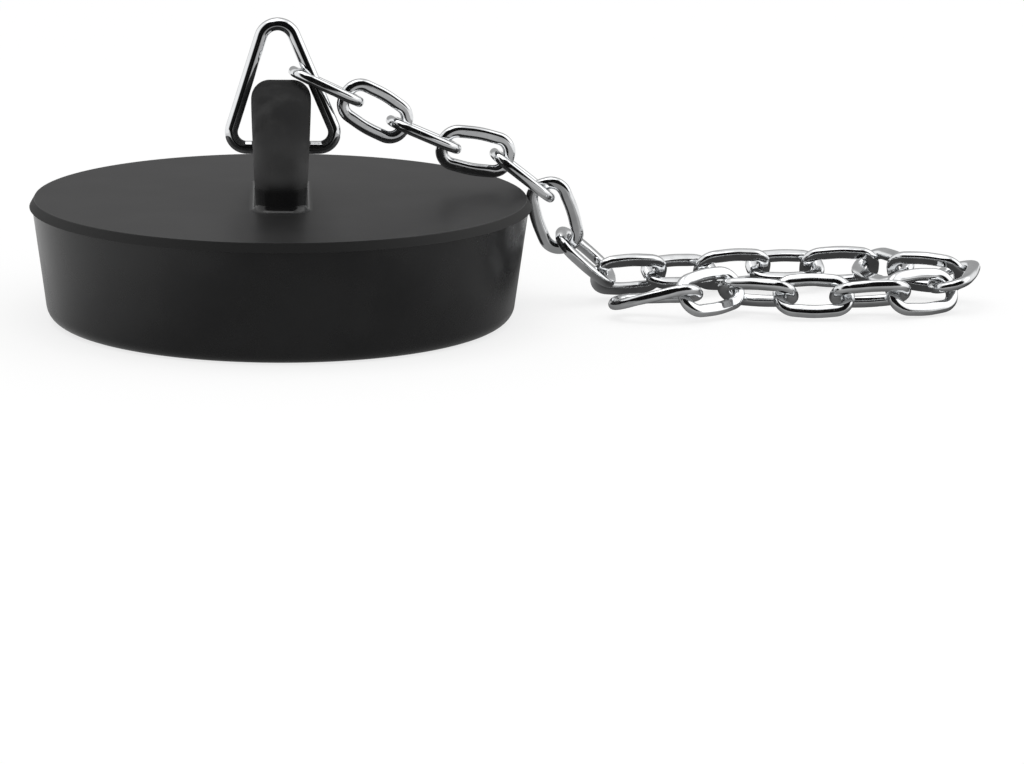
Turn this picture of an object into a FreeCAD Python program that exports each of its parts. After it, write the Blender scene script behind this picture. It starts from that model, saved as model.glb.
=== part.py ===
import FreeCAD, Part
import math
import os

# Rubber plug, lengths in mm
LIP_RADIUS = 23.0
LIP_THICKNESS = 0.8
LIP_SLANT = 0.45
WALL_INSET = 0.25
WALL_TAPER_DEG = 7.6
PLUG_HEIGHT = 11.2
BASE_ROUND = 1.5

# Ear on top of the plug, moulded in one with it
EAR_SPAN = 17.0
EAR_HEIGHT = 10.7
EAR_CROWN = 5.65
EAR_FOOT = 4.55
EAR_ROUND = 1.7
EAR_BLEND = 0.6
EAR_ROOT = 1.0
HOLE_RISE = 4.55
HOLE_PLAY = 0.05

# Triangle ring of round wire
RING_WIRE = 1.2
RING_HEADROOM = 8.25
RING_LEFT_PLAY = 0.2
RING_RIGHT_PLAY = 0.15
RING_APEX_SHIFT = -0.55
RING_CORNER = 1.4
RING_APEX = 1.6
RING_SLIT = 0.1

# Chain of pressed wire links
LINK_WIRE = 1.15
LINK_THICKNESS = 0.95
LINK_INSIDE_LENGTH = 5.3
LINK_INSIDE_WIDTH = 2.3
LINK_END_WIDTH = 1.8
LINK_CORNER = 1.4
LINK_BOW = 10.0
END_LINK_INSIDE_LENGTH = 6.6
END_LINK_TWIST_DEG = 34
LINK_PLAY = 0.05
HOOK_LIFT = 1.3
RIM_PLAY = 0.12
FLOOR_PLAY = 0.12

# Each link's turn about its own length, in degrees: 0 lies flat, 90 stands on edge
DRAPE_ROLL_DEG = [0, 88, 0, 86, -4, 64, -26]
OUTWARD_ROLL_DEG = [62, -28, 64, -28, 64, -30]
TURN_ROLL_DEG = [60, -15, 58]
INWARD_ROLL_DEG = [-36, 48, -38, 56]
END_ROLL_DEG = [-30]
LINK_ROLL_DEG = DRAPE_ROLL_DEG + OUTWARD_ROLL_DEG + TURN_ROLL_DEG + INWARD_ROLL_DEG + END_ROLL_DEG
LINK_COUNT = len(LINK_ROLL_DEG)

# Where the chain crosses the rim: in and up in link widths, back in plug radii
RIM_IN_SHARE = 0.27
RIM_UP_SHARE = 0.60
RIM_BACK_SHARE = 0.2

# Between the hook and the rim: shares of the way out, back and down
DRAPE_SHARES = [
    (0.25, 0.26, 0.38),
    (0.48, 0.53, 0.68),
    (0.74, 0.78, 0.90),
]

# Past the rim: out in link widths, back in the rim crossing's own, height in plug heights
FALL_SHARES = [
    (0.70, 1.20, 0.78),
    (0.80, 1.30, 0.25),
]

# Where the chain lands: out from the lip in link lengths, back in the rim crossing's own
LAND_SHARES = (1.41, 1.45)

# On the floor: out and back from the landing in link lengths, and lift in link widths
OUTWARD_SHARES = [
    (0.97, 0.42),
    (2.06, 0.80),
    (3.05, 0.97),
    (4.06, 1.12),
    (4.95, 1.06),
]
TURN_SHARES = [
    (5.25, 0.12, 0.03),
    (6.31, 0.05, 0.10),
    (6.00, -1.05, 0.08),
]
INWARD_SHARES = [
    (4.90, -1.42, 0.02),
    (3.92, -1.43, 0),
    (2.92, -1.43, 0),
    (1.99, -1.04, 0),
    (1.17, -1.85, 0.04),
]
END_SHARES = [
    (-0.02, -1.36, -0.05),
    (-0.90, -1.30, -0.05),
]

UP = FreeCAD.Vector(0, 0, 1)
SETTLE_ROUNDS = 20
TILT_ROUNDS = 60
TILT_SHARE = 0.03
OUTLINE_SHARES = [(0.06, 0.77), (0.2, 1), (0.5, 1), (0.8, 1), (0.94, 0.77)]


def vec(x, y, z):
    """A point or direction."""
    return FreeCAD.Vector(x, y, z)


def unit(v):
    """The same direction with length one."""
    return v * (1 / v.Length)


# Bent wire

def round_corner(before, corner, after, radius):
    """Start, middle, end and centre of the arc that rounds a corner."""
    a = unit(before - corner)
    b = unit(after - corner)
    half = a.getAngle(b) / 2
    reach = radius / math.tan(half)
    centre = corner + unit(a + b) * (radius / math.sin(half))
    middle = centre - unit(a + b) * radius
    return corner + a * reach, middle, corner + b * reach, centre


def rod(start, end, radius):
    """A straight piece of round wire."""
    return Part.makeCylinder(radius, (end - start).Length, start, end - start)


def bend(arc, wire_radius):
    """A bent piece of round wire along an arc."""
    start, middle, end, centre = arc
    a = start - centre
    b = end - centre
    axis = unit(a.cross(b))
    turn = math.degrees(a.getAngle(b))
    section = Part.Circle(start, unit(axis.cross(a)), wire_radius).toShape()
    face = Part.Face(Part.Wire([section]))
    return face.revolve(centre, axis, turn)


def loop_of_wire(corners, radii, wire_radius):
    """A closed loop of round wire with rounded corners."""
    count = len(corners)
    arcs = []
    for i in range(count):
        after = corners[(i + 1) % count]
        arcs.append(round_corner(corners[i - 1], corners[i], after, radii[i]))
    pieces = []
    for i in range(count):
        pieces.append(bend(arcs[i], wire_radius))
        start = arcs[i][2]
        end = arcs[(i + 1) % count][0]
        pieces.append(rod(start, end, wire_radius))
    return pieces[0].multiFuse(pieces[1:]).removeSplitter()


# Plug and ear

def wall_radius(z):
    """Radius of the plug's slanted wall at a height."""
    slope = math.tan(math.radians(WALL_TAPER_DEG))
    return LIP_RADIUS - WALL_INSET - (PLUG_HEIGHT - LIP_THICKNESS - z) * slope


def plug_solid():
    """The turned body: tapered wall, rounded base edge and thin lip."""
    z_lip = PLUG_HEIGHT - LIP_THICKNESS
    base = vec(wall_radius(0), 0, 0)
    under_lip = vec(wall_radius(z_lip), 0, z_lip)
    arc = round_corner(vec(0, 0, 0), base, under_lip, BASE_ROUND)
    lip_low = vec(LIP_RADIUS, 0, z_lip)
    lip_top = vec(LIP_RADIUS - LIP_SLANT, 0, PLUG_HEIGHT)
    axis_top = vec(0, 0, PLUG_HEIGHT)
    edges = [
        Part.makeLine(vec(0, 0, 0), arc[0]),
        Part.Arc(arc[0], arc[1], arc[2]).toShape(),
        Part.makeLine(arc[2], under_lip),
        Part.makeLine(under_lip, lip_low),
        Part.makeLine(lip_low, lip_top),
        Part.makeLine(lip_top, axis_top),
        Part.makeLine(axis_top, vec(0, 0, 0)),
    ]
    face = Part.Face(Part.Wire(edges))
    return face.revolve(vec(0, 0, 0), UP, 360)


def ear_half(z):
    """Half of the ear's thickness at a height."""
    share = (z - PLUG_HEIGHT) / EAR_HEIGHT
    return (EAR_FOOT + (EAR_CROWN - EAR_FOOT) * share) / 2


def ear_arch():
    """The ear's round-topped outline, as a long bar along X."""
    half = EAR_SPAN / 2
    z_root = PLUG_HEIGHT - EAR_ROOT
    z_top = PLUG_HEIGHT + EAR_HEIGHT
    z_spring = z_top - half
    front_foot = vec(-EAR_SPAN, -half, z_root)
    front_spring = vec(-EAR_SPAN, -half, z_spring)
    crown = vec(-EAR_SPAN, 0, z_top)
    back_spring = vec(-EAR_SPAN, half, z_spring)
    back_foot = vec(-EAR_SPAN, half, z_root)
    outline = [
        Part.makeLine(front_foot, front_spring),
        Part.Arc(front_spring, crown, back_spring).toShape(),
        Part.makeLine(back_spring, back_foot),
        Part.makeLine(back_foot, front_foot),
    ]
    return Part.Face(Part.Wire(outline)).extrude(vec(2 * EAR_SPAN, 0, 0))


def ear_wedge():
    """The ear's slightly wedge-shaped section, as a long bar along Y."""
    z_low = PLUG_HEIGHT - EAR_ROOT
    z_high = PLUG_HEIGHT + EAR_HEIGHT + EAR_ROOT
    low = ear_half(z_low)
    high = ear_half(z_high)
    section = Part.makePolygon([
        vec(-low, -EAR_SPAN, z_low),
        vec(low, -EAR_SPAN, z_low),
        vec(high, -EAR_SPAN, z_high),
        vec(-high, -EAR_SPAN, z_high),
        vec(-low, -EAR_SPAN, z_low),
    ])
    return Part.Face(section).extrude(vec(0, 2 * EAR_SPAN, 0))


def ear_solid():
    """The ear, with its upright and arched edges rounded."""
    blank = ear_arch().common(ear_wedge())
    rim = []
    for edge in blank.Edges:
        if edge.BoundBox.ZLength > EAR_ROOT / 2:
            rim.append(edge)
    return blank.makeFillet(EAR_ROUND, rim)


def plug_body():
    """Plug and ear in one moulding, with the hole for the ring's bar."""
    joined = plug_solid().fuse(ear_solid()).removeSplitter()
    foot = []
    for edge in joined.Edges:
        box = edge.BoundBox
        flat = box.ZLength < EAR_BLEND / 10 and abs(box.ZMax - PLUG_HEIGHT) < EAR_BLEND / 10
        if flat and max(abs(box.XMin), abs(box.XMax)) < EAR_CROWN:
            foot.append(edge)
    blended = joined.makeFillet(EAR_BLEND, foot)
    start = vec(-EAR_CROWN, 0, PLUG_HEIGHT + HOLE_RISE)
    hole = Part.makeCylinder(RING_WIRE / 2 + HOLE_PLAY, 2 * EAR_CROWN, start, vec(1, 0, 0))
    return blended.cut(hole)


# Triangle ring

def leg_foot(apex, side, play):
    """Where a leg from the apex meets the bar, passing the ear's shoulder with some play."""
    z_bar = PLUG_HEIGHT + HOLE_RISE
    z_shoulder = PLUG_HEIGHT + EAR_HEIGHT - EAR_ROUND
    shoulder = vec(side * (ear_half(z_shoulder) - EAR_ROUND), 0, z_shoulder)
    reach = EAR_ROUND + play + RING_WIRE / 2
    away = shoulder - apex
    lean = math.atan2(side * away.x, -away.z) + math.asin(reach / away.Length)
    return vec(apex.x + side * (apex.z - z_bar) * math.tan(lean), 0, z_bar)


def ring_corners():
    """The ring's three corners before they are rounded: left, right, apex."""
    apex = vec(RING_APEX_SHIFT, 0, PLUG_HEIGHT + EAR_HEIGHT + RING_HEADROOM)
    left = leg_foot(apex, -1, RING_LEFT_PLAY)
    right = leg_foot(apex, 1, RING_RIGHT_PLAY)
    return left, right, apex


def triangle_ring():
    """The ring, with its wire's two ends meeting inside the ear."""
    left, right, apex = ring_corners()
    loop = loop_of_wire([left, right, apex], [RING_CORNER, RING_CORNER, RING_APEX], RING_WIRE / 2)
    corner = vec(-RING_SLIT / 2, -RING_WIRE, left.z - RING_WIRE)
    slit = Part.makeBox(RING_SLIT, 2 * RING_WIRE, 2 * RING_WIRE, corner)
    return loop.cut(slit)


# Chain links

def link_span(index):
    """Distance between the middles of a link's two end wires."""
    inside = END_LINK_INSIDE_LENGTH if index == LINK_COUNT - 1 else LINK_INSIDE_LENGTH
    return inside + LINK_WIRE


def turned(across, twist_deg):
    """A direction across a link, turned about the link's length."""
    twist = math.radians(twist_deg)
    return vec(0, across.y * math.cos(twist), -across.y * math.sin(twist))


def link_loop(span, twist_deg):
    """An oval link's wire along X, its first end wire at the origin and its far end turned by a twist."""
    end_half = (LINK_END_WIDTH + LINK_WIRE) / 2
    side_half = (LINK_INSIDE_WIDTH + LINK_WIRE) / 2
    lean = math.atan2(side_half - end_half, span / 2)
    side_half = side_half + LINK_BOW * (1 / math.cos(lean) - 1)
    near = vec(0, end_half, 0)
    middle = vec(span / 2, 0, 0)
    far = vec(span, 0, 0)
    side = turned(vec(0, side_half, 0), twist_deg / 2)
    tip = turned(near, twist_deg)
    corners = [near * -1, middle - side, far - tip, far + tip, middle + side, near]
    radii = [LINK_CORNER, LINK_BOW, LINK_CORNER, LINK_CORNER, LINK_BOW, LINK_CORNER]
    return loop_of_wire(corners, radii, LINK_WIRE / 2)


def pressed_link():
    """A flat link, pressed flat on both faces."""
    span = LINK_INSIDE_LENGTH + LINK_WIRE
    width = LINK_INSIDE_WIDTH + 2 * LINK_WIRE
    corner = vec(-LINK_WIRE, -width, -LINK_THICKNESS / 2)
    slab = Part.makeBox(span + 2 * LINK_WIRE, 2 * width, LINK_THICKNESS, corner)
    return link_loop(span, 0).common(slab)


def twisted_link():
    """The longer link at the free end, twisted and left round."""
    return link_loop(END_LINK_INSIDE_LENGTH + LINK_WIRE, END_LINK_TWIST_DEG)


# How the chain drapes

def rest_height(rolls):
    """Height of a row of links' middles when its steepest link lies on the floor."""
    half = (LINK_INSIDE_WIDTH + LINK_WIRE) / 2
    steepest = max(abs(roll) for roll in rolls)
    return half * math.sin(math.radians(steepest)) + LINK_WIRE / 2 + FLOOR_PLAY


def hook():
    """Place on the ring's right leg where the first link hangs, and the leg's direction."""
    left, right, apex = ring_corners()
    rise = EAR_HEIGHT + HOOK_LIFT - HOLE_RISE
    return right + (apex - right) * (rise / (apex.z - right.z)), unit(apex - right)


def route():
    """Points that the chain follows: over the rim, down, out along the floor and back."""
    pitch = LINK_INSIDE_LENGTH
    width = LINK_INSIDE_WIDTH + 2 * LINK_WIRE
    at = hook()[0]
    back = RIM_BACK_SHARE * LIP_RADIUS
    rim = vec(LIP_RADIUS - RIM_IN_SHARE * width, back, PLUG_HEIGHT + RIM_UP_SHARE * width)
    points = [at]
    for out, aside, down in DRAPE_SHARES:
        points.append(vec(at.x + (rim.x - at.x) * out, rim.y * aside, at.z - (at.z - rim.z) * down))
    points.append(rim)
    for out, aside, height in FALL_SHARES:
        points.append(vec(LIP_RADIUS + out * width, aside * back, height * PLUG_HEIGHT))
    high = rest_height(OUTWARD_ROLL_DEG)
    low = rest_height(INWARD_ROLL_DEG)
    last = rest_height(END_ROLL_DEG)
    land = vec(LIP_RADIUS + LAND_SHARES[0] * pitch, LAND_SHARES[1] * back, high)
    points.append(land)
    for out, aside in OUTWARD_SHARES:
        points.append(land + vec(out * pitch, aside * pitch, 0))
    for out, aside, lift in TURN_SHARES:
        points.append(land + vec(out * pitch, aside * pitch, lift * width))
    for out, aside, lift in INWARD_SHARES:
        points.append(land + vec(out * pitch, aside * pitch, low - high + lift * width))
    for out, aside, lift in END_SHARES:
        points.append(land + vec(out * pitch, aside * pitch, last - high + lift * width))
    return points


def ahead(points, place, centre, reach):
    """The first place on the route past a given one that lies a reach from a centre."""
    index, share = place
    for i in range(index, len(points) - 1):
        start = points[i]
        along = points[i + 1] - start
        away = start - centre
        square = along.dot(along)
        slope = away.dot(along)
        under = slope * slope - square * (away.dot(away) - reach * reach)
        if under < 0:
            continue
        s = (math.sqrt(under) - slope) / square
        if s <= 1 and (i > index or s > share):
            return start + along * s, (i, s)
    return points[-1], (len(points) - 2, 1)


def side_of(heading, roll):
    """Direction of a link's end wires, from its heading and its roll."""
    across = unit(heading.cross(UP))
    rise = unit(across.cross(heading))
    turn = math.radians(roll)
    return across * math.cos(turn) + rise * math.sin(turn)


def rim_distance(point):
    """Distance of a point from the plug's lip and wall."""
    z_lip = PLUG_HEIGHT - LIP_THICKNESS
    radius = math.hypot(point.x, point.y)
    out = max(radius - LIP_RADIUS, 0)
    if point.z > z_lip:
        return math.hypot(out, max(point.z - PLUG_HEIGHT, 0))
    return min(math.hypot(out, z_lip - point.z), radius - wall_radius(point.z))


def clear_of_plug(start, heading, side, span):
    """Whether a link stays clear of the plug's rim."""
    half = (LINK_INSIDE_WIDTH + LINK_WIRE) / 2
    for along, across in OUTLINE_SHARES:
        for reach in (-half, half):
            point = start + heading * (along * span) + side * (across * reach)
            if rim_distance(point) < LINK_WIRE / 2 + RIM_PLAY:
                return False
    return True


def hung_on(before, heading, side, gap):
    """First end wire of a link that hangs inside the wire before it."""
    before_end, before_heading, before_side = before
    across = unit(before_side.cross(side))
    if across.dot(heading + before_heading) < 0:
        across = across * -1
    return before_end - across * gap


def next_place(points, place, before, gap, span, roll):
    """Place of the link that hangs on the wire before it, and how far along the route it ends."""
    start = before[0] - before[1] * gap
    for i in range(SETTLE_ROUNDS):
        target, found = ahead(points, place, start, span)
        heading = unit(target - start)
        side = side_of(heading, roll)
        start = hung_on(before, heading, side, gap)
    # a link that would cut into the rim tilts up until it clears it
    for i in range(TILT_ROUNDS):
        if clear_of_plug(start, heading, side, span):
            break
        heading = unit(heading + UP * TILT_SHARE)
        side = side_of(heading, roll)
        start = hung_on(before, heading, side, gap)
    return (start, heading, side), found


def chain_places():
    """For each link: first end wire, heading and end-wire direction."""
    points = route()
    at, leg = hook()
    before = (at, unit(points[1] - at), leg)
    gap = (RING_WIRE + LINK_WIRE) / 2 + LINK_PLAY
    places = []
    reached = (0, 0)
    for k in range(LINK_COUNT):
        span = link_span(k)
        link, reached = next_place(points, reached, before, gap, span, LINK_ROLL_DEG[k])
        start, heading, side = link
        places.append(link)
        before = (start + heading * span, heading, side)
        gap = LINK_WIRE + LINK_PLAY
    return places


def placed_link(k, place):
    """One link in its place."""
    start, heading, side = place
    turn = FreeCAD.Rotation(heading, side, heading.cross(side), "XYZ")
    solid = twisted_link() if k == LINK_COUNT - 1 else pressed_link()
    solid.Placement = FreeCAD.Placement(start, turn)
    return solid


def link_name(k):
    """A link's file name."""
    if k == LINK_COUNT - 1:
        return "end_link"
    return "chain_link_%02d" % (k + 1)


def main():
    os.makedirs("parts", exist_ok=True)
    plug_body().exportStep("parts/plug_body.step")
    triangle_ring().exportStep("parts/triangle_ring.step")
    for k, place in enumerate(chain_places()):
        placed_link(k, place).exportStep("parts/" + link_name(k) + ".step")


if __name__ == "__main__":
    main()
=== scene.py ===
import math
import bmesh
import bpy
import numpy as np
from mathutils import Matrix, Quaternion, Vector


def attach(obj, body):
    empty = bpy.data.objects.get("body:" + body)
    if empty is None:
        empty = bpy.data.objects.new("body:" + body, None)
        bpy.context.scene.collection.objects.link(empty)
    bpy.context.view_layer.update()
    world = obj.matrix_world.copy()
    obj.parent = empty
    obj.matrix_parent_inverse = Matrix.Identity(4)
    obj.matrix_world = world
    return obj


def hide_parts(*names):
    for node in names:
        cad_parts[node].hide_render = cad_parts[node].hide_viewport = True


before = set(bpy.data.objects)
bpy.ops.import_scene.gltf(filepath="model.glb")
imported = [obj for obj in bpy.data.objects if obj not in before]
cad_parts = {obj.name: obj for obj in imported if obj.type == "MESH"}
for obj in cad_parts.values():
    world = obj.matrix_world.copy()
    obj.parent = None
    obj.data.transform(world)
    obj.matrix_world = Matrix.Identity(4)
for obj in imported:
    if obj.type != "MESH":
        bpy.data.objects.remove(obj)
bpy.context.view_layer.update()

MM = 0.001

# Camera: the photograph's viewing angle
IMAGE_WIDTH = 1024
IMAGE_HEIGHT = 764
FOCAL_PIXELS = 4886.0
SENSOR_WIDTH = 36.0
CLIP_START = 0.01
EYE = Vector((0, -441.5, 92.9)) * MM
AIM = Vector((0, 0, 6)) * MM
AIM_PIXEL = (281.0, 252.0)

# Lamps: power, size and place in metres
KEY_LAMP = (2.6, 0.8, Vector((-0.12, -0.08, 0.97)))
FILL_LAMP = (1.4, 0.9, Vector((0.85, 0.0, 0.6)))

# Room: its light on the object, and the dark front and grey back that reflections show
ROOM_LEVEL = 0.55
FRONT_WAY = (0.0, -0.93, 0.37)
FRONT_EDGES = (0.68, 0.42)
FRONT_LEVEL = 0.005
BACK_WAY = (0.0, 0.96, 0.28)
BACK_EDGES = (0.88, 0.62)
BACK_LEVEL = 0.40

# Floor: size in metres, and what it shows the camera
FLOOR_SIZE = 6.0
FLOOR_CELLS = 8
FLOOR_TONE = (0.8, 0.8, 0.8, 1)
FAINT_TONE = (0.30, 0.30, 0.30, 1)
FLOOR_GLOW = 0.76
WHITE = (1, 1, 1, 1)

# Floor in reflections: where its level changes, in mm, and the levels there. Its glow is painted
# shade: grey by the plug and darker to its right, darker behind the chain and dark ahead, with painted
# light in front of the chain; white far out and behind
PLUG_SIDE = (-42, -6)
LEFT_FLOOR = 0.72
RIGHT_FLOOR = 0.27
CHAIN_SIDE = (25, 33)
CHAIN_DEPTH = (-10, 4)
# Painted light in front of the chain and painted shade behind it.
CHAIN_PAINTED_LIGHT_AND_SHADE = (1.6, 0.2)
FAR_SIDE = (66, 95)
FAR_LEVEL = 0.95
BEHIND = (22, 42)
BEHIND_LEVEL = 0.9
AHEAD = (-80, -40)
AHEAD_SLOPE = 0.8
AHEAD_LEVEL = 0.01

# Triangle ring: corners before rounding, bend radii and wire, in mm
RING_CORNERS = ((-5.05, 0.0, 15.75), (5.60, 0.0, 15.75), (-0.55, 0.0, 30.15))
RING_BENDS = (1.4, 1.4, 1.6)
RING_WIRE = 1.2
RING_ARC_STEPS = 20
RING_RUN_STEPS = 24
RING_SIDES = 28

# Chain link: wire, thickness after pressing, widths and bends, in mm
LINK_WIRE = 1.15
LINK_THICKNESS = 0.95
LINK_SPAN = 6.45
END_LINK_SPAN = 7.75
LINK_SIDE_WIDTH = 3.45
LINK_END_WIDTH = 2.95
LINK_BEND = 1.4
LINK_BOW = 10.0
LINK_END_DEPTH = 0.6
LINK_BEND_STEPS = 12
LINK_BOW_STEPS = 8
LINK_RUN_STEPS = 6

# Pressed section: rounding of its edges in mm, and the share of a link's length where it changes
SIDE_EDGE = 0.35
END_EDGE = 0.45
EDGE_START = 0.22
EDGE_RUN = 0.22
EDGE_STEPS = 5

# Surface marks: noise detail and roughness, and the shape of the scratches
MARK_SCALES = ("Grain Scale", "Mottle Scale", "Scratch Scale")
MARK_NAMES = ("Grain", "Mottle", "Scratch")
GRAIN_NOISE = (3.0, 0.6)
MOTTLE_NOISE = (4.0, 0.55)
SCRATCH_NOISE = (2.0, 0.5)
SCRATCH_STRETCH = (1.0, 0.03, 1.0)
SCRATCH_TURNS = ((0.3, 0.5, 0.2), (1.1, -0.4, 0.9))
SCRATCH_CUT = (0.64, 0.74)
MOTTLE_RANGE = (0.3, 0.7)

# Rubber: heights at which its finish changes, in mm
LIP_BAND = (10.36, 10.42)
TOP_BAND = (11.12, 11.19)
FOOT_BAND = (11.23, 11.40)
EAR_BAND = (12.9, 14.6)
CROWN_BAND = (14.0, 20.0)

# Rubber: marks, tones, roughness and bump
RUBBER_MARKS = (4200.0, 170.0, 900.0)
SKIN_TONES = ((0.0082, 0.0082, 0.0085, 1), (0.0130, 0.0130, 0.0134, 1))
# The ear's lighter tones are partly dust and partly painted light that brightens the ear.
EAR_DUST_AND_PAINTED_LIGHT_TONES = ((0.0440, 0.0440, 0.0444, 1), (0.0700, 0.0700, 0.0706, 1))
# The lip's darker tone is painted shade on the lip's slant.
LIP_PAINTED_SHADE_TONE = (0.0040, 0.0040, 0.0041, 1)
RUBBER_SPECULAR = 0.42
SKIN_ROUGH = (0.20, 0.28)
GRAIN_ROUGH = 0.05
LIP_ROUGH = 0.65
TOP_ROUGH = 0.42
FOOT_ROUGH = 0.13
PATCH_RANGE = (0.40, 0.60)
EAR_ROUGH = (0.58, 0.92)
GRAIN_RISE = 0.04
RUBBER_BUMP = 0.25
RUBBER_BUMP_DEPTH = 0.05

# Plating: marks, roughness and tones of the ring and the links, and their wear and bump
RING_MARKS = (6000.0, 420.0, 1500.0)
RING_ROUGH = (0.05, 0.14)
RING_TONES = ((0.78, 0.79, 0.80, 1), (0.88, 0.89, 0.90, 1))
LINK_MARKS = (6000.0, 700.0, 2200.0)
LINK_ROUGH = (0.08, 0.22)
LINK_TONES = ((0.70, 0.71, 0.72, 1), (0.84, 0.85, 0.86, 1))
WEAR_RANGE = (0.45, 0.8)
WEAR_LEVEL = 0.6
SCRATCH_DEPTH = 0.4
PLATE_BUMP = 0.12
PLATE_BUMP_DEPTH = 0.02


# Node helpers

def make(tree, kind, sockets=None, **settings):
    """A node with its settings, and its sockets set or linked."""
    node = tree.nodes.new(kind)
    for name, value in settings.items():
        setattr(node, name, value)
    for name, value in (sockets or {}).items():
        if isinstance(value, bpy.types.NodeSocket):
            tree.links.new(value, node.inputs[name])
        else:
            node.inputs[name].default_value = value
    return node


def math_node(tree, operation, a, b):
    """A sum, difference, product or the larger of two values."""
    return make(tree, "ShaderNodeMath", {0: a, 1: b}, operation=operation).outputs[0]


def spread(tree, value, low, high, to_low, to_high):
    """A value stretched from one range to another with soft ends."""
    node = make(tree, "ShaderNodeMapRange", {
        0: value, 1: low, 2: high, 3: to_low, 4: to_high}, interpolation_type="SMOOTHSTEP")
    return node.outputs[0]


def between(tree, place, edges, at_low, at_high):
    """A level that changes across a stretch given in mm."""
    return spread(tree, place, edges[0] * MM, edges[1] * MM, at_low, at_high)


def mix(tree, share, a, b):
    """A value between two others."""
    return make(tree, "ShaderNodeMix", {0: share, 2: a, 3: b}).outputs[0]


def mix_tone(tree, share, a, b):
    """A colour between two others."""
    return make(tree, "ShaderNodeMix", {0: share, 6: a, 7: b}, data_type="RGBA").outputs[2]


def own_place(tree):
    """A piece's own coordinates, along x, y and z."""
    place = make(tree, "ShaderNodeTexCoord").outputs["Object"]
    return make(tree, "ShaderNodeSeparateXYZ", {0: place}).outputs


# Materials

def noise(tree, place, scale, kind):
    """Noise of one kind at a scale."""
    return make(tree, "ShaderNodeTexNoise", {
        "Vector": place, "Scale": scale, "Detail": kind[0], "Roughness": kind[1]}).outputs[0]


def marks_group():
    """Grain, slow mottling and hairline scratches, shared by the rubber and the plated wire."""
    tree = bpy.data.node_groups.new("surface_marks", "ShaderNodeTree")
    face = tree.interface
    face.new_socket("Place", in_out="INPUT", socket_type="NodeSocketVector")
    for name in MARK_SCALES:
        face.new_socket(name, in_out="INPUT", socket_type="NodeSocketFloat")
    for name in MARK_NAMES:
        face.new_socket(name, in_out="OUTPUT", socket_type="NodeSocketFloat")
    given = tree.nodes.new("NodeGroupInput").outputs
    out = tree.nodes.new("NodeGroupOutput").inputs
    place = given["Place"]
    tree.links.new(noise(tree, place, given["Grain Scale"], GRAIN_NOISE), out["Grain"])
    tree.links.new(noise(tree, place, given["Mottle Scale"], MOTTLE_NOISE), out["Mottle"])
    hairs = []
    for turn in SCRATCH_TURNS:
        turned = make(tree, "ShaderNodeMapping", {
            "Vector": place, "Rotation": turn, "Scale": SCRATCH_STRETCH}).outputs[0]
        hair = noise(tree, turned, given["Scratch Scale"], SCRATCH_NOISE)
        hairs.append(spread(tree, hair, *SCRATCH_CUT, 0.0, 1.0))
    tree.links.new(math_node(tree, "MAXIMUM", hairs[0], hairs[1]), out["Scratch"])
    return tree


def new_material(name):
    """A new material with its shader."""
    material = bpy.data.materials.new(name)
    material.use_nodes = True
    return material, material.node_tree, material.node_tree.nodes["Principled BSDF"]


def place_marks(tree, marks, scales):
    """The shared marks placed in a material, on the piece's own coordinates."""
    node = make(tree, "ShaderNodeGroup", node_tree=marks)
    tree.links.new(make(tree, "ShaderNodeTexCoord").outputs["Object"], node.inputs["Place"])
    for name, value in zip(MARK_SCALES, scales):
        node.inputs[name].default_value = value
    return node.outputs


def raise_bump(tree, shader, height, strength, depth):
    """A bump on the shader's surface, its depth in mm."""
    bump = make(tree, "ShaderNodeBump", {
        "Height": height, "Strength": strength, "Distance": depth * MM})
    tree.links.new(bump.outputs[0], shader.inputs["Normal"])


def black_rubber(marks):
    """Moulded rubber: half gloss on the wall, matt lip darkened with painted shade, dull top, glossy
    foot and patchy ear made lighter with dust and painted light.
    """
    material, tree, shader = new_material("black_rubber")
    out = place_marks(tree, marks, RUBBER_MARKS)
    height = own_place(tree)[2]
    lip, top, foot, upper_ear = [
        between(tree, height, band, 0.0, 1.0) for band in (LIP_BAND, TOP_BAND, FOOT_BAND, EAR_BAND)]
    lip_slant = math_node(tree, "SUBTRACT", lip, top)
    foot = math_node(tree, "SUBTRACT", foot, upper_ear)
    # Lighter upper ear, fading towards the crown: dust and painted light.
    dust_and_painted_light = math_node(tree, "MULTIPLY", upper_ear, between(tree, height, CROWN_BAND, 1.0, 0.0))

    tone = spread(tree, out["Mottle"], *MOTTLE_RANGE, 0.0, 1.0)
    colour = mix_tone(tree, dust_and_painted_light, mix_tone(tree, tone, *SKIN_TONES), mix_tone(tree, tone, *EAR_DUST_AND_PAINTED_LIGHT_TONES))
    # Painted shade: the lip's slant made darker than the wall.
    colour = mix_tone(tree, lip_slant, colour, LIP_PAINTED_SHADE_TONE)
    tree.links.new(colour, shader.inputs["Base Color"])
    shader.inputs["Specular IOR Level"].default_value = RUBBER_SPECULAR

    rough = spread(tree, out["Mottle"], *MOTTLE_RANGE, *SKIN_ROUGH)
    rough = math_node(tree, "ADD", rough, math_node(tree, "MULTIPLY", out["Grain"], GRAIN_ROUGH))
    patchy = spread(tree, out["Mottle"], *PATCH_RANGE, *EAR_ROUGH)
    for mask, level in ((top, TOP_ROUGH), (lip_slant, LIP_ROUGH), (foot, FOOT_ROUGH), (upper_ear, patchy)):
        rough = mix(tree, mask, rough, level)
    tree.links.new(rough, shader.inputs["Roughness"])

    rise = math_node(tree, "ADD", math_node(tree, "MULTIPLY", out["Grain"], GRAIN_RISE), out["Mottle"])
    raise_bump(tree, shader, rise, RUBBER_BUMP, RUBBER_BUMP_DEPTH)
    return material


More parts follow.
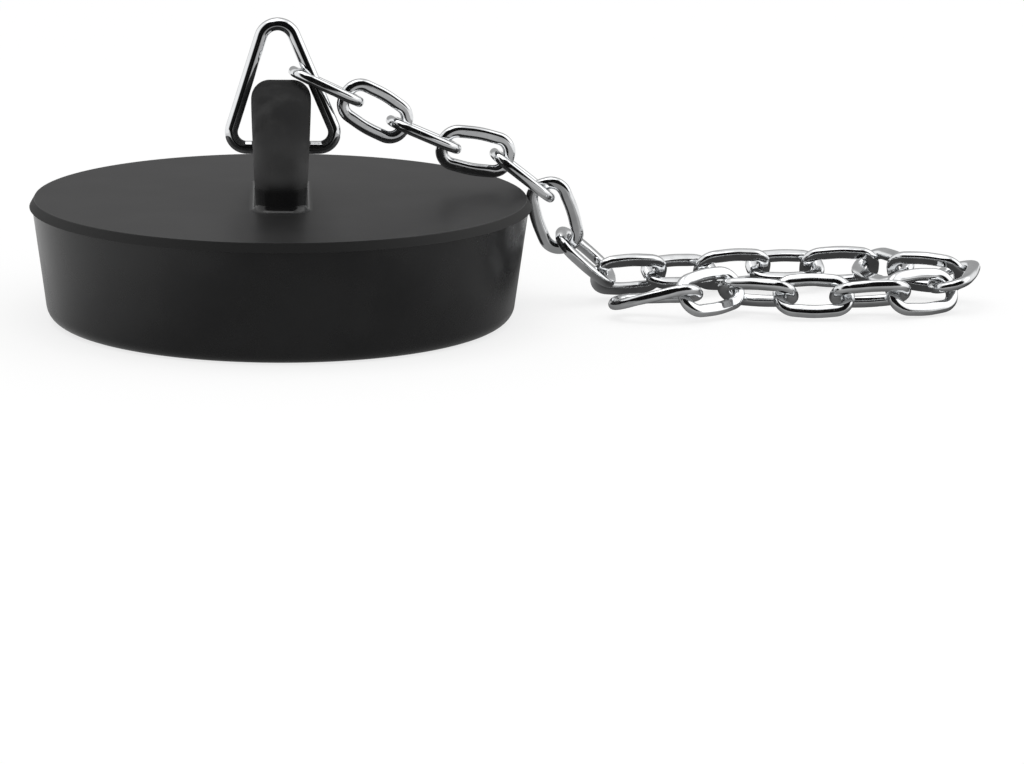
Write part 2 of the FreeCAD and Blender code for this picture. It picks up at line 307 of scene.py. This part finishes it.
def bright_plate(name, marks, scales, roughness, tones):
    """Nickel-bright plating with faint mottling and hairline scratches."""
    material, tree, shader = new_material(name)
    out = place_marks(tree, marks, scales)
    tone = spread(tree, out["Mottle"], *MOTTLE_RANGE, 0.0, 1.0)
    tree.links.new(mix_tone(tree, tone, *tones), shader.inputs["Base Color"])
    worn = spread(tree, out["Mottle"], *WEAR_RANGE, 0.0, WEAR_LEVEL)
    worn = math_node(tree, "MAXIMUM", out["Scratch"], worn)
    tree.links.new(spread(tree, worn, 0.0, 1.0, *roughness), shader.inputs["Roughness"])
    shader.inputs["Metallic"].default_value = 1.0
    cut = math_node(tree, "MULTIPLY", out["Scratch"], SCRATCH_DEPTH)
    rise = math_node(tree, "SUBTRACT", out["Mottle"], cut)
    raise_bump(tree, shader, rise, PLATE_BUMP, PLATE_BUMP_DEPTH)
    return material


# Bent wire

def rounded_loop(corners, radii, arc_shares, run_steps):
    """Points round a closed loop of arcs and straight runs, with the way outward at each."""
    count = len(corners)
    arcs = []
    for i in range(count):
        a = (corners[i - 1] - corners[i]).normalized()
        b = (corners[(i + 1) % count] - corners[i]).normalized()
        half = a.angle(b) / 2
        centre = corners[i] + (a + b).normalized() * (radii[i] / math.sin(half))
        reach = radii[i] / math.tan(half)
        arcs.append((centre, corners[i] + a * reach, corners[i] + b * reach))
    points = []
    for i in range(count):
        centre, start, end = arcs[i]
        spoke = start - centre
        turn = spoke.rotation_difference(end - centre)
        for share in arc_shares[i]:
            now = Quaternion().slerp(turn, share) @ spoke
            points.append((centre + now, now.normalized()))
        after = arcs[(i + 1) % count]
        out = (end - centre).normalized()
        next_out = (after[1] - after[0]).normalized()
        for k in range(1, run_steps):
            share = k / run_steps
            points.append((end.lerp(after[1], share), out.lerp(next_out, share).normalized()))
    return points


def even(count):
    """Evenly spaced shares from none to all."""
    return [k / count for k in range(count + 1)]


def rounded_section(half_width, half_height, edge, steps):
    """A flat-faced wire section with rounded edges."""
    outline = []
    for corner in range(4):
        turn = corner * math.pi / 2
        x = (half_width - edge) * (1 if corner in (0, 3) else -1)
        y = (half_height - edge) * (1 if corner in (0, 1) else -1)
        for share in even(steps):
            angle = turn + share * math.pi / 2
            outline.append((x + edge * math.cos(angle), y + edge * math.sin(angle)))
    return outline


def swept_loop(name, points, sections):
    """A closed wire mesh: one section at each point of a loop."""
    shape = bmesh.new()
    rings = []
    count = len(points)
    for i, (place, out) in enumerate(points):
        along = points[(i + 1) % count][0] - points[i - 1][0]
        over = along.cross(out).normalized()
        outward = over.cross(along).normalized()
        rings.append([shape.verts.new(place + outward * x + over * y) for x, y in sections[i]])
    for i in range(count):
        near, far = rings[i], rings[(i + 1) % count]
        for j in range(len(near)):
            k = (j + 1) % len(near)
            shape.faces.new((near[j], near[k], far[k], far[j]))
    bmesh.ops.recalc_face_normals(shape, faces=shape.faces[:])
    for face in shape.faces:
        face.smooth = True
    mesh = bpy.data.meshes.new(name)
    shape.to_mesh(mesh)
    shape.free()
    return add_object(name, mesh)


def add_object(name, data):
    """A new object in the scene."""
    piece = bpy.data.objects.new(name, data)
    bpy.context.scene.collection.objects.link(piece)
    return piece


def finish_piece(piece, material, node):
    """The piece takes its material and stands for its node."""
    piece.data.materials.append(material)
    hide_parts(node)
    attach(piece, node)


def ring_piece(material):
    """The triangle ring's bent round wire."""
    corners = [Vector(c) * MM for c in RING_CORNERS]
    radii = [r * MM for r in RING_BENDS]
    points = rounded_loop(corners, radii, [even(RING_ARC_STEPS)] * 3, RING_RUN_STEPS)
    r = RING_WIRE / 2 * MM
    angles = [2 * math.pi * k / RING_SIDES for k in range(RING_SIDES)]
    section = [(r * math.cos(angle), r * math.sin(angle)) for angle in angles]
    piece = swept_loop("ring_wire", points, [section] * len(points))
    finish_piece(piece, material, "triangle_ring")


# Chain

def surface_axes(node):
    """Middle of a node, its long and cross directions and its points, from its surface."""
    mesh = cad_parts[node].data
    mesh.calc_loop_triangles()
    places = np.array([v.co for v in mesh.vertices])
    faces = np.array([t.vertices for t in mesh.loop_triangles])
    corners = places[faces]
    sides = np.cross(corners[:, 1] - corners[:, 0], corners[:, 2] - corners[:, 0])
    area = np.linalg.norm(sides, axis=1)
    middles = corners.mean(axis=1)
    middle = (middles * area[:, None]).sum(axis=0) / area.sum()
    away = middles - middle
    ways = np.linalg.eigh((away * area[:, None]).T @ away)[1]
    return Vector(middle), Vector(ways[:, 2]), Vector(ways[:, 1]), places


def end_way(places, middle, along, depth):
    """Direction of a node's end wire: at the far end, or at the near end where depth is negative."""
    edge = np.array(along)
    run = (places - np.array(middle)) @ edge
    near = places[run > run.max() - depth] if depth > 0 else places[run < run.min() - depth]
    flat = near - near.mean(axis=0)
    flat = flat - np.outer(flat @ edge, edge)
    return Vector(np.linalg.eigh(flat.T @ flat)[1][:, 2])


def oval_loop(middle, along, near_side, far_side, span):
    """A link's oval path: bent ends and bowed sides."""
    lean = math.atan2((LINK_SIDE_WIDTH - LINK_END_WIDTH) / 2, span / 2)
    bow = LINK_SIDE_WIDTH / 2 + LINK_BOW * (1 / math.cos(lean) - 1)
    end = LINK_END_WIDTH / 2 * MM
    half = along * (span / 2 * MM)
    side = (near_side + far_side).normalized() * (bow * MM)
    corners = [
        middle - half - near_side * end, middle - side, middle + half - far_side * end,
        middle + half + far_side * end, middle + side, middle - half + near_side * end,
    ]
    radii = [LINK_BEND * MM, LINK_BOW * MM, LINK_BEND * MM] * 2
    bend, bowed = even(LINK_BEND_STEPS), even(LINK_BOW_STEPS)
    return rounded_loop(corners, radii, [bend, bowed, bend] * 2, LINK_RUN_STEPS)


def link_sections(points, middle, along, span):
    """Sections along a link: squarer on the pressed sides, rounder at the ends."""
    sections = []
    for place, _ in points:
        run = (place - middle).dot(along) / MM
        reach = min(max((abs(run) / span - EDGE_START) / EDGE_RUN, 0), 1)
        edge = SIDE_EDGE + (END_EDGE - SIDE_EDGE) * reach * reach * (3 - 2 * reach)
        outline = rounded_section(LINK_WIRE / 2, LINK_THICKNESS / 2, edge, EDGE_STEPS)
        sections.append([(x * MM, y * MM) for x, y in outline])
    return sections


def link_piece(node, material):
    """A link of wire pressed flat on both faces."""
    middle, along, across, _ = surface_axes(node)
    points = oval_loop(middle, along, across, across, LINK_SPAN)
    sections = link_sections(points, middle, along, LINK_SPAN)
    piece = swept_loop(node.replace("chain_link", "pressed_link"), points, sections)
    finish_piece(piece, material, node)


def end_link_piece(node, before, material):
    """The longer twisted link at the free end."""
    middle, along, _, places = surface_axes(node)
    if (surface_axes(before)[0] - middle).dot(along) > 0:
        along = along * -1
    near = end_way(places, middle, along, -LINK_END_DEPTH * MM)
    far = end_way(places, middle, along, LINK_END_DEPTH * MM)
    if near.dot(far) < 0:
        far = far * -1
    points = oval_loop(middle, along, near, far, END_LINK_SPAN)
    sections = link_sections(points, middle, along, END_LINK_SPAN)
    piece = swept_loop("twisted_link", points, sections)
    finish_piece(piece, material, node)


# Stage

def seen(tree):
    """What the camera sees straight, and what it sees in a reflection."""
    path = make(tree, "ShaderNodeLightPath").outputs
    mirrored = math_node(tree, "MAXIMUM", path["Is Glossy Ray"], path["Is Transmission Ray"])
    return path["Is Camera Ray"], mirrored


def towards(tree, way, aim, edges, level):
    """A level around a direction that fades to full away from it."""
    facing = make(tree, "ShaderNodeVectorMath", {0: way, 1: aim}, operation="DOT_PRODUCT")
    near, far = edges
    return spread(tree, facing.outputs["Value"], far, near, 1.0, level)


def studio_world():
    """White to the camera; reflections show a dark room behind it and a grey wall opposite."""
    world = bpy.data.worlds.new("studio")
    bpy.context.scene.world = world
    world.use_nodes = True
    tree = world.node_tree
    ground = tree.nodes["Background"]
    way = make(tree, "ShaderNodeTexCoord").outputs["Generated"]
    front = towards(tree, way, FRONT_WAY, FRONT_EDGES, FRONT_LEVEL)
    back = towards(tree, way, BACK_WAY, BACK_EDGES, BACK_LEVEL)
    camera_ray, mirrored = seen(tree)
    level = mix(tree, mirrored, ROOM_LEVEL, math_node(tree, "MULTIPLY", front, back))
    level = mix(tree, camera_ray, level, 1.0)
    tree.links.new(level, ground.inputs["Strength"])
    ground.inputs["Color"].default_value = WHITE


def mirrored_floor(tree):
    """The floor's level in reflections, with painted shade: grey by the plug and darker to its right,
    painted shade behind the chain and painted light in front of it, white far out and behind, dark
    ahead.
    """
    place = own_place(tree)
    aside = make(tree, "ShaderNodeMath", {0: place[0]}, operation="ABSOLUTE").outputs[0]
    ahead = math_node(tree, "ADD", place[1], math_node(tree, "MULTIPLY", aside, AHEAD_SLOPE))
    level = between(tree, place[0], PLUG_SIDE, LEFT_FLOOR, RIGHT_FLOOR)
    beside = between(tree, place[0], CHAIN_SIDE, 0.0, 1.0)
    # Painted light in front of the chain and painted shade behind it.
    painted_light_and_shade_at_chain = between(tree, place[1], CHAIN_DEPTH, *CHAIN_PAINTED_LIGHT_AND_SHADE)
    level = math_node(tree, "MULTIPLY", level, mix(tree, beside, 1.0, painted_light_and_shade_at_chain))
    level = math_node(tree, "MAXIMUM", level, between(tree, aside, FAR_SIDE, 0.0, FAR_LEVEL))
    level = math_node(tree, "MAXIMUM", level, between(tree, place[1], BEHIND, 0.0, BEHIND_LEVEL))
    return math_node(tree, "MULTIPLY", level, between(tree, ahead, AHEAD, AHEAD_LEVEL, 1.0))


def pale_floor():
    """A white floor that keeps a light shadow; in reflections its glow carries painted shade."""
    mesh = bpy.data.meshes.new("floor")
    shape = bmesh.new()
    bmesh.ops.create_grid(
        shape, x_segments=FLOOR_CELLS, y_segments=FLOOR_CELLS, size=FLOOR_SIZE / 2)
    shape.to_mesh(mesh)
    shape.free()
    floor = add_object("floor", mesh)
    material, tree, shader = new_material("pale_floor")
    tree.nodes.remove(shader)
    plain = make(tree, "ShaderNodeBsdfDiffuse", {"Color": FLOOR_TONE})
    faint = make(tree, "ShaderNodeBsdfDiffuse", {"Color": FAINT_TONE})
    glow = make(tree, "ShaderNodeEmission", {"Color": WHITE, "Strength": FLOOR_GLOW})
    lit = make(tree, "ShaderNodeAddShader", {0: faint.outputs[0], 1: glow.outputs[0]})
    camera_ray, mirrored = seen(tree)
    # The floor's glow in reflections, with painted shade.
    floor_glow_with_painted_shade = make(tree, "ShaderNodeEmission", {"Color": WHITE, "Strength": mirrored_floor(tree)})
    unseen = make(tree, "ShaderNodeMixShader", {
        0: mirrored, 1: plain.outputs[0], 2: floor_glow_with_painted_shade.outputs[0]})
    both = make(tree, "ShaderNodeMixShader", {
        0: camera_ray, 1: unseen.outputs[0], 2: lit.outputs[0]})
    tree.links.new(both.outputs[0], tree.nodes["Material Output"].inputs["Surface"])
    mesh.materials.append(material)


def lamp(name, power, size, place):
    """A soft square lamp pointed at the plug."""
    data = bpy.data.lights.new(name, "AREA")
    data.energy = power
    data.size = size
    lamp_object = add_object(name, data)
    lamp_object.location = place
    lamp_object.rotation_euler = (AIM - place).to_track_quat("-Z", "Y").to_euler()


def camera():
    """The camera at the photograph's place, turned so that the plug falls where it does there."""
    data = bpy.data.cameras.new("camera")
    data.sensor_width = SENSOR_WIDTH
    data.lens = FOCAL_PIXELS * SENSOR_WIDTH / IMAGE_WIDTH
    data.clip_start = CLIP_START
    forward = (AIM - EYE).normalized()
    right = Vector((1, 0, 0))
    up = right.cross(forward)
    aside = IMAGE_WIDTH / 2 - AIM_PIXEL[0]
    down = IMAGE_HEIGHT / 2 - AIM_PIXEL[1]
    axis = (forward * FOCAL_PIXELS + right * aside - up * down).normalized()
    up = right.cross(axis).normalized()
    turn = Matrix((axis.cross(up), up, axis * -1)).transposed()
    eye = add_object("camera", data)
    eye.location = EYE
    eye.rotation_euler = turn.to_euler()
    bpy.context.scene.camera = eye


# The part

marks = marks_group()
ring_plate = bright_plate("bright_wire", marks, RING_MARKS, RING_ROUGH, RING_TONES)
link_plate = bright_plate("pressed_plate", marks, LINK_MARKS, LINK_ROUGH, LINK_TONES)

ring_piece(ring_plate)
links = sorted(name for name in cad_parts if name.startswith("chain_link"))
for name in links:
    link_piece(name, link_plate)
end_link_piece("end_link", links[-1], link_plate)

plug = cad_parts["plug_body"]
plug.data.materials.clear()
plug.data.materials.append(black_rubber(marks))

bpy.context.scene.view_settings.view_transform = "Standard"
studio_world()
pale_floor()
lamp("key", *KEY_LAMP)
lamp("fill", *FILL_LAMP)
camera()
